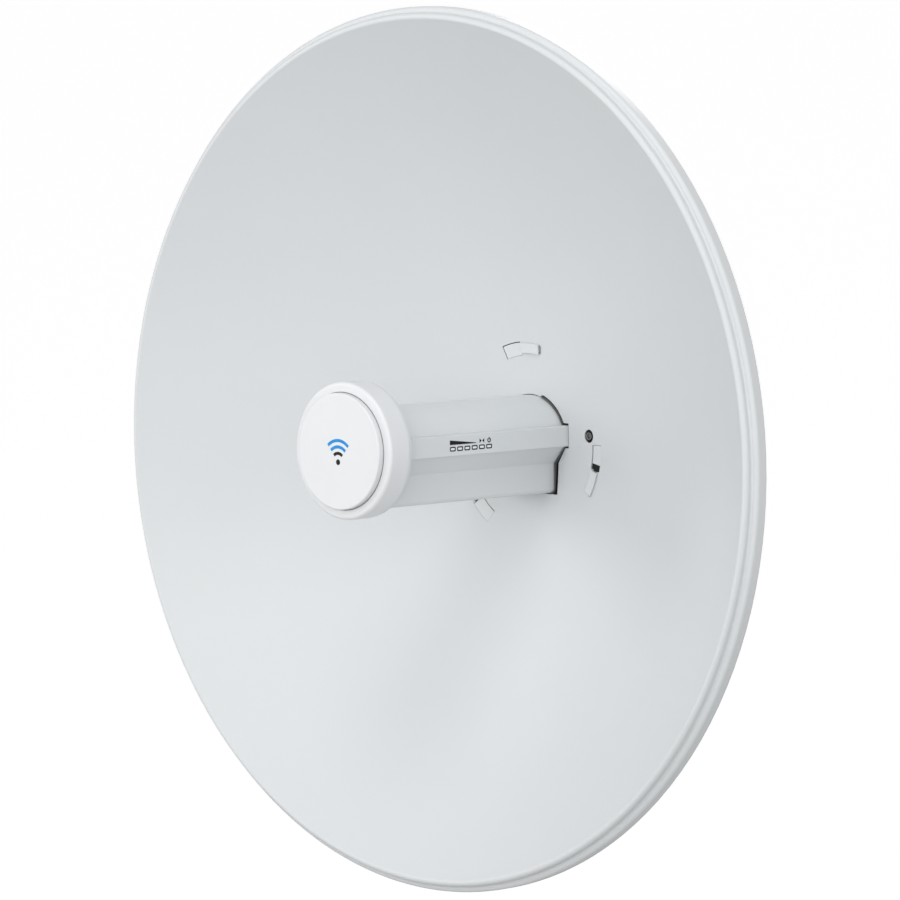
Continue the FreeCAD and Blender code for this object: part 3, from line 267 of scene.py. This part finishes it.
def blackened_screw():
    """Blackened steel whose coating is worn to a grey ring round the hex socket."""
    paint = Paint("black_screw", (0.30, 0.30, 0.305), 0.36, 0.85).soft_edges(0.0002)
    axis = (screw_low + screw_high) / 2
    reach = paint.reach((axis.x, 0, axis.z), (1, 0, 1))
    paint.tint(reach, (0.012, 0.012, 0.013), WORN_RADIUS - WORN_BLUR, WORN_RADIUS)
    paint.vary_roughness(paint.noise(400.0), 0.08)
    paint.bump(paint.noise(1800.0), 0.00002, 0.4)
    return paint.material


def plain_metal(name, color, roughness):
    paint = Paint(name, color, roughness, 1.0).soft_edges(0.0002)
    paint.tint(paint.noise(180.0, 4.0), tuple(0.85 * c for c in color), 0.4, 0.8)
    paint.vary_roughness(paint.noise(420.0, 4.0), 0.07)
    paint.bump(paint.noise(700.0, 3.0, stretch=(1, 6, 1)), 0.00002, 0.35)
    return paint.material


def rubber():
    """Black rubber. On the hub gasket the black also stands in for the shade in the gap round the feed, and the
    lip's front edge, inside a large ball in front of the dish, is painted lighter grey as a painted highlight.
    """
    paint = Paint("rubber", (0.010, 0.010, 0.011), 0.62).soft_edges(0.0003)
    paint.tint(paint.noise(90.0, 4.0), (0.018, 0.018, 0.019), 0.4, 0.8)
    # painted highlight: the lip's front edge, inside the ball, is painted lighter grey
    reach = paint.reach((0, LIP_BALL_Y, 0))
    paint.tint(reach, (0.10, 0.10, 0.105), LIP_BALL_RADIUS + LIP_BLUR, LIP_BALL_RADIUS)
    paint.vary_roughness(paint.noise(300.0), 0.08)
    paint.bump(paint.noise(2000.0), 0.00003, 0.5)
    return paint.set(Specular_IOR_Level=0.3).material


def circuit_board():
    paint = Paint("circuit_board", (0.012, 0.11, 0.05), 0.30)
    tracks = paint.add("ShaderNodeTexBrick")
    tracks.inputs["Scale"].default_value = 130.0
    tracks.inputs["Mortar Size"].default_value = 0.012
    paint.link(paint.place, tracks.inputs["Vector"])
    paint.tint(tracks.outputs["Fac"], (0.03, 0.20, 0.09), 0.0, 1.0)
    paint.bump(tracks.outputs["Fac"], 0.00003, 0.5)
    paint.vary_roughness(paint.noise(600.0), 0.05)
    return paint.material


def milky_plastic(name, color, roughness):
    paint = Paint(name, color, roughness)
    paint.tint(paint.noise(150.0), tuple(0.94 * c for c in color))
    paint.vary_roughness(paint.noise(500.0), 0.05)
    paint.bump(paint.noise(1600.0), 0.00001, 0.3)
    return paint.set(Subsurface_Weight=0.15, Subsurface_Scale=0.002).material


def gap_pad():
    paint = Paint("gap_pad", (0.30, 0.34, 0.45), 0.75)
    paint.tint(paint.noise(500.0, 5.0), (0.40, 0.44, 0.55))
    paint.vary_roughness(paint.noise(200.0), 0.06)
    paint.bump(paint.noise(900.0, 4.0), 0.00008, 0.5)
    return paint.material


# a flat matte colour for print, and for the painted shade round the cap's disc
def ink_and_shade_paint(name, color):
    paint = Paint(name, color, 0.45)
    paint.tint(paint.noise(900.0, 3.0), tuple(min(1.0, 1.25 * c + 0.004) for c in color), 0.45, 0.8)
    paint.vary_roughness(paint.noise(700.0), 0.06)
    return paint.set(Specular_IOR_Level=0.2).material


def studio_floor():
    """Darker grey near the object as a painted shade, and pale with a painted glow away from it, standing in for
    the light on a lit sweep.
    """
    paint = Paint("studio_floor", (0.50, 0.50, 0.50), 0.9)
    distance = paint.reach((0, 0, 0))
    # painted shade: darker grey near the object
    paint.tint(distance, (0.92, 0.92, 0.92), FLOOR_NEAR, FLOOR_FAR)
    # painted glow: the far floor gives off light though it is no lamp
    glow = paint.remap(distance, 0.0, FLOOR_GLOW, FLOOR_NEAR, FLOOR_FAR)
    paint.link(glow, paint.shader.inputs["Emission Strength"])
    return paint.set(Emission_Color=(1, 1, 1, 1)).material


MATERIALS = {
    "dish_coat": powder_coat(), "shell_plastic": shell_plastic(), "cap_plastic": cap_plastic(),
    "zinc_steel": zinc_steel(), "cast_aluminium": cast_aluminium(), "plated_bolt": plated_bolt(),
    "black_screw": blackened_screw(),
    "brass_insert": plain_metal("brass_insert", (0.66, 0.50, 0.22), 0.30),
    "seal_rubber": rubber(), "board_laminate": circuit_board(),
    "tinned_steel": plain_metal("tinned_steel", (0.70, 0.70, 0.68), 0.34),
    "plain_aluminium": plain_metal("plain_aluminium", (0.72, 0.73, 0.74), 0.33),
    "ptfe": milky_plastic("ptfe", (0.88, 0.88, 0.87), 0.45),
    "light_guide": milky_plastic("light_guide", (0.80, 0.82, 0.83), 0.28),
    "thermal_gap_pad": gap_pad(),
    "jack_metal": plain_metal("jack_metal", (0.62, 0.61, 0.58), 0.28)}
INK_DARK = ink_and_shade_paint("ink_dark", (0.006, 0.006, 0.008))
# painted shade: a flat grey used only for the ring round the cap's disc, not print
SHADE_GREY = ink_and_shade_paint("painted_shade_grey", (0.19, 0.19, 0.195))
INK_BLUE = ink_and_shade_paint("ink_blue", (0.012, 0.235, 0.60))
SLOT_OF = {part["node"]: part["material_slot"] for part in frame["record"]["subparts"]}

for node_name, node in nodes.items():
    node.data.materials.clear()
    node.data.materials.append(MATERIALS[SLOT_OF[node_name]])


# ---- mesh helpers --------------------------------------------------------------------------
def new_piece(name, mesh, material, body):
    """An object that rides on a body, with the given material."""
    obj = bpy.data.objects.new(name, mesh)
    bpy.context.scene.collection.objects.link(obj)
    mesh.materials.append(material)
    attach(obj, body)
    return obj


def finish_mesh(bm, name):
    bmesh.ops.recalc_face_normals(bm, faces=bm.faces)
    mesh = bpy.data.meshes.new(name)
    bm.to_mesh(mesh)
    bm.free()
    return mesh


def prism(bm, outline, lift):
    """A closed solid from a flat outline of points, raised by a vector."""
    low = [bm.verts.new(p) for p in outline]
    high = [bm.verts.new(p + lift) for p in outline]
    bm.faces.new(low)
    bm.faces.new(high)
    for i in range(len(outline)):
        j = (i + 1) % len(outline)
        bm.faces.new((low[i], low[j], high[j], high[i]))


def join_rings(bm, rings, closed=False):
    """Faces between neighbouring rings of vertices; a ring of one vertex is a tip."""
    pairs = zip(rings, rings[1:] + rings[:1]) if closed else zip(rings, rings[1:])
    for a, b in pairs:
        count = max(len(a), len(b))
        for i in range(count):
            j = (i + 1) % count
            if len(a) == 1:
                bm.faces.new((a[0], b[i], b[j]))
            elif len(b) == 1:
                bm.faces.new((a[i], a[j], b[0]))
            else:
                bm.faces.new((a[i], a[j], b[j], b[i]))


def band(bm, outer, inner, lift):
    """A closed ring-shaped solid between two outlines with the same number of points."""
    outlines = (outer, inner, [p + lift for p in inner], [p + lift for p in outer])
    join_rings(bm, [[bm.verts.new(p) for p in outline] for outline in outlines], closed=True)


def lathe(bm, origin, along, profile, steps=64):
    """A closed turned solid from (distance along, radius) points."""
    side = Z if abs(along.z) < 0.5 else X
    other = along.cross(side)
    rings = []
    for at, r in profile:
        angles = [2 * math.pi * i / steps for i in range(steps if r else 1)]
        rings.append([bm.verts.new(origin + along * at + side * (r * math.cos(a))
                                   + other * (r * math.sin(a))) for a in angles])
    join_rings(bm, rings)


def rounded(center, across, up, width, height, radius, steps=5):
    """Points of a rounded rectangle in the plane of two unit vectors."""
    points = []
    for corner, (sx, sy) in enumerate(((1, 1), (-1, 1), (-1, -1), (1, -1))):
        for i in range(steps + 1):
            a = math.pi / 2 * (corner + i / steps)
            x = sx * (width / 2 - radius) + radius * math.cos(a)
            y = sy * (height / 2 - radius) + radius * math.sin(a)
            points.append(center + across * x + up * y)
    return points


def arc_points(center, across, up, radius, start, end, steps=24):
    """Points of an arc between two angles in degrees."""
    angles = [math.radians(start + (end - start) * i / steps) for i in range(steps + 1)]
    return [center + across * (radius * math.cos(a)) + up * (radius * math.sin(a)) for a in angles]


SMOOTH_ANGLE = 32       # degrees


def smooth_by_angle(mesh, angle=SMOOTH_ANGLE):
    """Smooth shading, with an edge kept sharp where its faces turn by more than the angle."""
    for polygon in mesh.polygons:
        polygon.use_smooth = True
    bm = bmesh.new()
    bm.from_mesh(mesh)
    for edge in bm.edges:
        if len(edge.link_faces) == 2 and edge.calc_face_angle(0.0) > math.radians(angle):
            edge.smooth = False
    bm.to_mesh(mesh)
    bm.free()


INK_AND_SHADE_HEIGHT = 0.05 * MM


# ---- printed marks, and a painted shade ring round the cap's disc ------------------------
WINDOWS = 6
WINDOW_LONG, WINDOW_TALL = 2.9 * MM, 1.3 * MM
window_pitch = (pipes_high.y - pipes_low.y - WINDOW_LONG) / (WINDOWS - 1)
first_window = Vector((strip_face_x, pipes_low.y + WINDOW_LONG / 2, (pipes_low.z + pipes_high.z) / 2))


def window_frames():
    """The printed outline round each signal light."""
    bm = bmesh.new()
    for i in range(WINDOWS):
        center = first_window + Y * (i * window_pitch)
        outer = rounded(center, Y, Z, WINDOW_LONG + 0.95 * MM, WINDOW_TALL + 0.9 * MM, 0.6 * MM)
        inner = rounded(center, Y, Z, WINDOW_LONG - 0.25 * MM, WINDOW_TALL - 0.25 * MM, 0.3 * MM)
        band(bm, outer, inner, X * INK_AND_SHADE_HEIGHT)
    new_piece("window_frames", finish_mesh(bm, "window_frames"), INK_DARK, "head")


SIGNS_ABOVE = 2.0 * MM          # foot of the signs over the middle of the lights
WEDGE_BEFORE, WEDGE_LONG = 1.95 * MM, 17.5 * MM
WEDGE_HIGH, WEDGE_LOW = 2.2 * MM, 0.3 * MM
SIGN_MIDDLE = 0.95 * MM         # middle of the link and power signs over their foot
LINK_GAP, LINK_WIDE, LINK_HALF_TALL = 0.2 * MM, 1.35 * MM, 1.05 * MM
POWER_OUTER, POWER_INNER, POWER_START, POWER_END = 1.2 * MM, 0.65 * MM, 125, 415
POWER_BAR_HALF, POWER_BAR_FOOT, POWER_BAR_TOP = 0.28 * MM, 0.15 * MM, 1.45 * MM


def signal_signs():
    """The signal wedge over four lights, then the link and power signs over the last two."""
    bm = bmesh.new()
    lift = X * INK_AND_SHADE_HEIGHT
    base = first_window + Z * SIGNS_ABOVE
    tall = base - Y * WEDGE_BEFORE
    thin = tall + Y * WEDGE_LONG
    prism(bm, [tall, thin, thin + Z * WEDGE_LOW, tall + Z * WEDGE_HIGH], lift)
    link = base + Y * (4 * window_pitch) + Z * SIGN_MIDDLE
    for side in (-1, 1):
        tip = link + Y * (side * LINK_GAP)
        foot = tip + Y * (side * LINK_WIDE)
        prism(bm, [tip, foot + Z * LINK_HALF_TALL, foot - Z * LINK_HALF_TALL], lift)
    power = base + Y * (5 * window_pitch) + Z * SIGN_MIDDLE
    outer = arc_points(power, Y, Z, POWER_OUTER, POWER_START, POWER_END)
    inner = arc_points(power, Y, Z, POWER_INNER, POWER_START, POWER_END)
    prism(bm, outer + inner[::-1], lift)
    low, high = power + Z * POWER_BAR_FOOT, power + Z * POWER_BAR_TOP
    half = Y * POWER_BAR_HALF
    prism(bm, [low - half, low + half, high + half, high - half], lift)
    new_piece("signal_signs", finish_mesh(bm, "signal_signs"), INK_DARK, "head")


MARK_BELOW = 5.0 * MM           # the dot under the disc's middle
MARK_DOT_RADIUS = 1.35 * MM
MARK_RING, MARK_FIRST, MARK_STEP = 1.5 * MM, 3.4 * MM, 3.0 * MM     # width, first radius, pitch
MARK_START, MARK_END = 48, 132


def cap_mark():
    """A generic radio-wave sign on the cap's disc: a dot with three arcs over it."""
    foot = Vector((DISC_CENTER.x, disc_low.y, DISC_CENTER.z)) - Z * MARK_BELOW
    lift = -Y * INK_AND_SHADE_HEIGHT
    bm = bmesh.new()
    prism(bm, arc_points(foot, X, Z, MARK_DOT_RADIUS, 0, 360)[:-1], lift)
    new_piece("cap_mark_dot", finish_mesh(bm, "cap_mark_dot"), INK_DARK, "head")
    for name, material, arcs in (("cap_mark_inner", INK_DARK, (0,)),
                                 ("cap_mark_outer", INK_BLUE, (1, 2))):
        bm = bmesh.new()
        for k in arcs:
            inner_r = MARK_FIRST + k * MARK_STEP
            outer = arc_points(foot, X, Z, inner_r + MARK_RING, MARK_START, MARK_END)
            inner = arc_points(foot, X, Z, inner_r, MARK_END, MARK_START)
            prism(bm, outer + inner, lift)
        new_piece(name, finish_mesh(bm, name), material, "head")


# the painted shade ring round the cap's disc
DISC_SHADE_INNER, DISC_SHADE_OUTER, DISC_SHADE_STEPS = 0.02 * MM, 0.42 * MM, 160


def disc_edge_shade():
    """A grey ring painted on the cap's ring where the disc meets it: painted shade at the disc's foot."""
    center = Vector((DISC_CENTER.x, cap_face_y, DISC_CENTER.z))
    outer, inner = (arc_points(center, X, Z, DISC_RADIUS + shade_offset, 0, 360, DISC_SHADE_STEPS)[:-1]
                    for shade_offset in (DISC_SHADE_OUTER, DISC_SHADE_INNER))
    bm = bmesh.new()
    band(bm, outer, inner, -Y * INK_AND_SHADE_HEIGHT)
    new_piece("disc_edge_shade", finish_mesh(bm, "disc_edge_shade"), SHADE_GREY, "head")


ARM_FACE_X = 33.5 * MM
TICK_RADIUS, TICK_HALF_WIDE = 25.2 * MM, 0.22 * MM
TICK_LONG, TICK_SHORT, TICK_DEGREES, TICKS_EACH_WAY = 3.0 * MM, 1.8 * MM, 5, 4


def tilt_scale():
    """Tick marks round the pivot on both arms, every second one longer."""
    bm = bmesh.new()
    for side in (-1, 1):
        center = Vector((side * ARM_FACE_X, pivot.y, pivot.z))
        for step in range(-TICKS_EACH_WAY, TICKS_EACH_WAY + 1):
            angle = math.radians(step * TICK_DEGREES)
            out = Y * math.sin(angle) - Z * math.cos(angle)
            half = (Y * math.cos(angle) + Z * math.sin(angle)) * TICK_HALF_WIDE
            far = center + out * TICK_RADIUS
            near = far - out * (TICK_SHORT if step % 2 else TICK_LONG)
            prism(bm, [near - half, near + half, far + half, far - half], X * (side * INK_AND_SHADE_HEIGHT))
    new_piece("tilt_scale", finish_mesh(bm, "tilt_scale"), INK_DARK, "bracket")


# ---- threaded fasteners ----------------------------------------------------------------------
THREAD_AROUND, THREAD_PER_PITCH = 36, 8
THREAD_DEPTH, CHAMFER_DEPTH = 0.61, 0.35        # of the pitch, and of the thread's depth


def thread(bm, start, along, length, radius, pitch):
    """A rod with a helical thread from start along a unit vector, with chamfered ends."""
    side = Z if abs(along.z) < 0.5 else X
    other = along.cross(side)
    depth = THREAD_DEPTH * pitch
    count = int(length / pitch * THREAD_PER_PITCH)
    rings = []
    for k in range(count + 1):
        at = length * k / count
        fade = min(1.0, at / pitch, (length - at) / pitch)
        ring = []
        for i in range(THREAD_AROUND):
            phase = (at / pitch - i / THREAD_AROUND) % 1.0
            tooth = max(0.0, min(1.0, 2.6 * abs(phase - 0.5) - 0.15))
            r = radius - depth * tooth - CHAMFER_DEPTH * depth * (1 - fade)
            a = 2 * math.pi * i / THREAD_AROUND
            ring.append(bm.verts.new(start + along * at + side * (r * math.cos(a))
                                     + other * (r * math.sin(a))))
        rings.append(ring)
    join_rings(bm, rings)
    bm.faces.new(rings[0])
    bm.faces.new(rings[-1])


BOLT_X = bolt_high.x - 8.8 * MM
PLATE_FRONT_Y, PLATE_THICK = -30.0 * MM, 2.8 * MM
DOME_HIGH, DOME_RADIUS, HEAD_RADIUS = 4.4 * MM, 8.6 * MM, 8.75 * MM
NECK_HALF, SHANK_RADIUS, SHANK_LONG = 3.95 * MM, 3.95 * MM, 17.0 * MM
SHANK_CHAMFER = 0.4 * MM
THREAD_RADIUS, THREAD_PITCH = 3.97 * MM, 1.25 * MM
BOLT_SMOOTH_ANGLE = 50      # degrees


def carriage_bolts():
    """Dome-headed square-neck bolts with a real thread behind the plain shank."""
    dome_angles = [math.radians(7.5 * k) for k in range(1, 12)]
    dome = [(0.0, 0.0)]
    dome += [(DOME_HIGH * (1 - math.cos(a)), DOME_RADIUS * math.sin(a)) for a in dome_angles]
    dome += [(4.0 * MM, HEAD_RADIUS), (DOME_HIGH, 8.5 * MM), (DOME_HIGH, 0.0)]
    shank_end = SHANK_LONG + SHANK_CHAMFER
    shank_profile = [(0.0, 0.0), (0.0, SHANK_RADIUS), (SHANK_LONG, SHANK_RADIUS),
                     (shank_end, 3.5 * MM), (shank_end, 0.0)]
    bm = bmesh.new()
    for x in (-BOLT_X, BOLT_X):
        lathe(bm, Vector((x, bolt_low.y, 0)), Y, dome)
        neck = [Vector((x + sx * NECK_HALF, PLATE_FRONT_Y, sz * NECK_HALF))
                for sx, sz in ((-1, -1), (1, -1), (1, 1), (-1, 1))]
        prism(bm, neck, Y * PLATE_THICK)
        shank = Vector((x, PLATE_FRONT_Y + PLATE_THICK, 0))
        lathe(bm, shank, Y, shank_profile, 48)
        thread_start = shank + Y * (shank_end - 0.1 * MM)
        thread(bm, thread_start, Y, bolt_high.y - thread_start.y, THREAD_RADIUS, THREAD_PITCH)
    mesh = finish_mesh(bm, "carriage_bolts_fine")
    smooth_by_angle(mesh, BOLT_SMOOTH_ANGLE)
    piece = new_piece("carriage_bolts_fine", mesh, MATERIALS["plated_bolt"], "bracket")
    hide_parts("carriage_bolts")


RIDGE_PITCH, RIDGE_WIDE, RIDGE_LONG, RIDGE_ROUND = 3.0 * MM, 0.9 * MM, 2.2 * MM, 0.4 * MM
RIDGE_HIGH = 0.35 * MM


def button_ridges():
    """Three raised finger ridges on the feed release button."""
    bm = bmesh.new()
    middle_y = (latch_low.y + latch_high.y) / 2
    for k in (-1, 0, 1):
        center = Vector((k * RIDGE_PITCH, middle_y, latch_high.z))
        prism(bm, rounded(center, X, Y, RIDGE_WIDE, RIDGE_LONG, RIDGE_ROUND), Z * RIDGE_HIGH)
    mesh = finish_mesh(bm, "release_button_ridges")
    smooth_by_angle(mesh)
    new_piece("release_button_ridges", mesh, MATERIALS["shell_plastic"], "latch")


# ---- the dish's shading and its rim --------------------------------------------------------
DISH_FOCAL = 139.0 * MM
BOWL_RADIUS = 204.2 * MM
BOWL_AGREES = 0.9           # cosine to the paraboloid above which a corner belongs to it
TURN_LIMIT = math.radians(50)


def true_dish_normals(mesh):
    """Shades the bowl as its exact paraboloid, and each ring of the rim alike all the way round."""
    normals = [corner.vector.copy() for corner in mesh.corner_normals]
    rings, places = {}, []
    for loop in mesh.loops:
        p, n = mesh.vertices[loop.vertex_index].co, normals[loop.index]
        r = math.hypot(p.x, p.z)
        if r < BOWL_RADIUS:
            bowl = Vector((p.x / (2 * DISH_FOCAL), 1, p.z / (2 * DISH_FOCAL))).normalized()
            if abs(n.dot(bowl)) > BOWL_AGREES:
                normals[loop.index] = bowl if n.dot(bowl) > 0 else -bowl
            continue
        flat = Vector(((n.x * p.x + n.z * p.z) / r, n.y))
        groups = rings.setdefault((round(r, 5), round(p.y, 5)), [])
        group = next((g for g in groups if g.angle(flat, 9.0) < TURN_LIMIT), None)
        if group is None:
            group = flat.copy()
            groups.append(group)
        else:
            group += flat
        places.append((loop.index, group, p.x / r, p.z / r))
    for index, group, cx, cz in places:
        flat = group.normalized()
        normals[index] = Vector((flat.x * cx, flat.y, flat.x * cz))
    mesh.normals_split_custom_set(normals)


ROLL_RADIUS, FOOT_RADIUS, BEAD_RADIUS = 1.95 * MM, 1.0 * MM, 2.0 * MM
WALL_DEEP, FOOT_FLAT, SKIRT_DEEP = 0.65 * MM, 0.1 * MM, 3.9 * MM
ROLL_START = -126.2         # degrees, where the roll leaves the bowl
COAT_ABOVE, COAT_BELOW = 0.03 * MM, 0.05 * MM
RIM_SEGMENTS = 480


def rim_profile(lift):
    """The rolled rim's front surface in the (radius, y) plane, lifted along its own normal."""
    edge_r, roll_y = dish_high.x, dish_low.y + ROLL_RADIUS
    bead_r = edge_r - BEAD_RADIUS
    wall_r = bead_r - FOOT_FLAT - FOOT_RADIUS
    foot_y = roll_y + WALL_DEEP
    bead_y = foot_y + FOOT_RADIUS + BEAD_RADIUS
    points = []
    for r, y, radius, start, end, steps in (
            (wall_r - ROLL_RADIUS, roll_y, ROLL_RADIUS + lift, ROLL_START, 0, 18),
            (wall_r + FOOT_RADIUS, foot_y, FOOT_RADIUS - lift, 180, 90, 6),
            (bead_r, bead_y, BEAD_RADIUS + lift, -90, 0, 12)):
        for k in range(steps + 1):
            a = math.radians(start + (end - start) * k / steps)
            points.append((r + radius * math.cos(a), y + radius * math.sin(a)))
    points.append((edge_r + lift, bead_y + SKIRT_DEEP))
    return points


def rim_coat():
    """The powder coat on the rolled rim, turned finely, so the rim shades evenly."""
    bm = bmesh.new()
    angles = [2 * math.pi * i / RIM_SEGMENTS for i in range(RIM_SEGMENTS)]
    rings = [[bm.verts.new((r * math.cos(a), y, r * math.sin(a))) for a in angles]
             for r, y in rim_profile(COAT_ABOVE) + rim_profile(-COAT_BELOW)[::-1]]
    join_rings(bm, rings, closed=True)
    mesh = finish_mesh(bm, "rim_coat")
    smooth_by_angle(mesh)
    new_piece("rim_coat", mesh, MATERIALS["dish_coat"], "head")


for node in nodes.values():
    smooth_by_angle(node.data)
true_dish_normals(nodes["dish_reflector"].data)
rim_coat()
window_frames()
signal_signs()
cap_mark()
disc_edge_shade()
tilt_scale()
carriage_bolts()
button_ridges()


# ---- stage and light -------------------------------------------------------------------------
FLOOR_Z, FLOOR_HALF, FLOOR_STEPS = dish_low.z - 0.45, 1500.0, 12
SURROUND = 0.31
# azimuth, elevation, strength
BRIGHT_AREAS = [(0, 0, 1.62), (45, 0, 0.96), (0, 90, 0.65), (180, 0, 0.35)]
BRIGHT_AREA_POWER = 4.0
BOX_DISTANCE = 2.0
# name, azimuth, elevation, size, power
SOFT_BOXES = [("key_high", 27, 54, 0.8, 7.0), ("key_left", -50, 15, 0.8, 6.3),
              ("low_front", 40, 5, 0.8, 1.6), ("side_right", 75, 10, 0.8, 4.0),
              ("back_light", 205, 35, 0.7, 14.0)]


def floor():
    """A wide flat floor, in squares so that its shading stays exact."""
    bm = bmesh.new()
    places = [FLOOR_HALF * (2 * i / FLOOR_STEPS - 1) for i in range(FLOOR_STEPS + 1)]
    grid = [[bm.verts.new((x, y, FLOOR_Z)) for y in places] for x in places]
    for a, b in zip(grid, grid[1:]):
        for j in range(FLOOR_STEPS):
            bm.faces.new((a[j], b[j], b[j + 1], a[j + 1]))
    mesh = finish_mesh(bm, "floor")
    obj = bpy.data.objects.new("floor", mesh)
    bpy.context.scene.collection.objects.link(obj)
    mesh.materials.append(studio_floor())


def soft_box(name, azimuth, elevation, size, power):
    """A square area light that looks at the dish from an azimuth and an elevation in degrees."""
    back = direction(azimuth, elevation)
    data = bpy.data.lights.new(name, "AREA")
    data.shape, data.size, data.energy = "SQUARE", size, power
    light = bpy.data.objects.new(name, data)
    bpy.context.scene.collection.objects.link(light)
    light.location = RIM_FRONT + back * BOX_DISTANCE
    light.rotation_euler = back.to_track_quat("Z", "Y").to_euler()


def surround():
    """A dim world with broad bright areas in front, at the right, overhead and behind."""
    world = bpy.data.worlds.new("studio")
    bpy.context.scene.world = world
    world.use_nodes = True
    tree = world.node_tree
    place = tree.nodes.new("ShaderNodeTexCoord").outputs["Generated"]

    def math_node(operation, a, b):
        node = tree.nodes.new("ShaderNodeMath")
        node.operation = operation
        for socket, value in zip(node.inputs, (a, b)):
            if isinstance(value, float):
                socket.default_value = value
            else:
                tree.links.new(value, socket)
        return node.outputs["Value"]

    total = SURROUND
    for azimuth, elevation, strength in BRIGHT_AREAS:
        toward = tree.nodes.new("ShaderNodeVectorMath")
        toward.operation = "DOT_PRODUCT"
        toward.inputs[1].default_value = direction(azimuth, elevation)
        tree.links.new(place, toward.inputs[0])
        facing = math_node("MAXIMUM", toward.outputs["Value"], 0.0)
        glow = math_node("MULTIPLY", math_node("POWER", facing, BRIGHT_AREA_POWER), strength)
        total = math_node("ADD", glow, total)
    background = tree.nodes["Background"]
    background.inputs["Color"].default_value = (1, 1, 1, 1)
    tree.links.new(total, background.inputs["Strength"])


floor()
surround()
for box in SOFT_BOXES:
    soft_box(*box)
bpy.context.scene.view_settings.view_transform = "Standard"
bpy.context.scene.view_settings.look = "None"
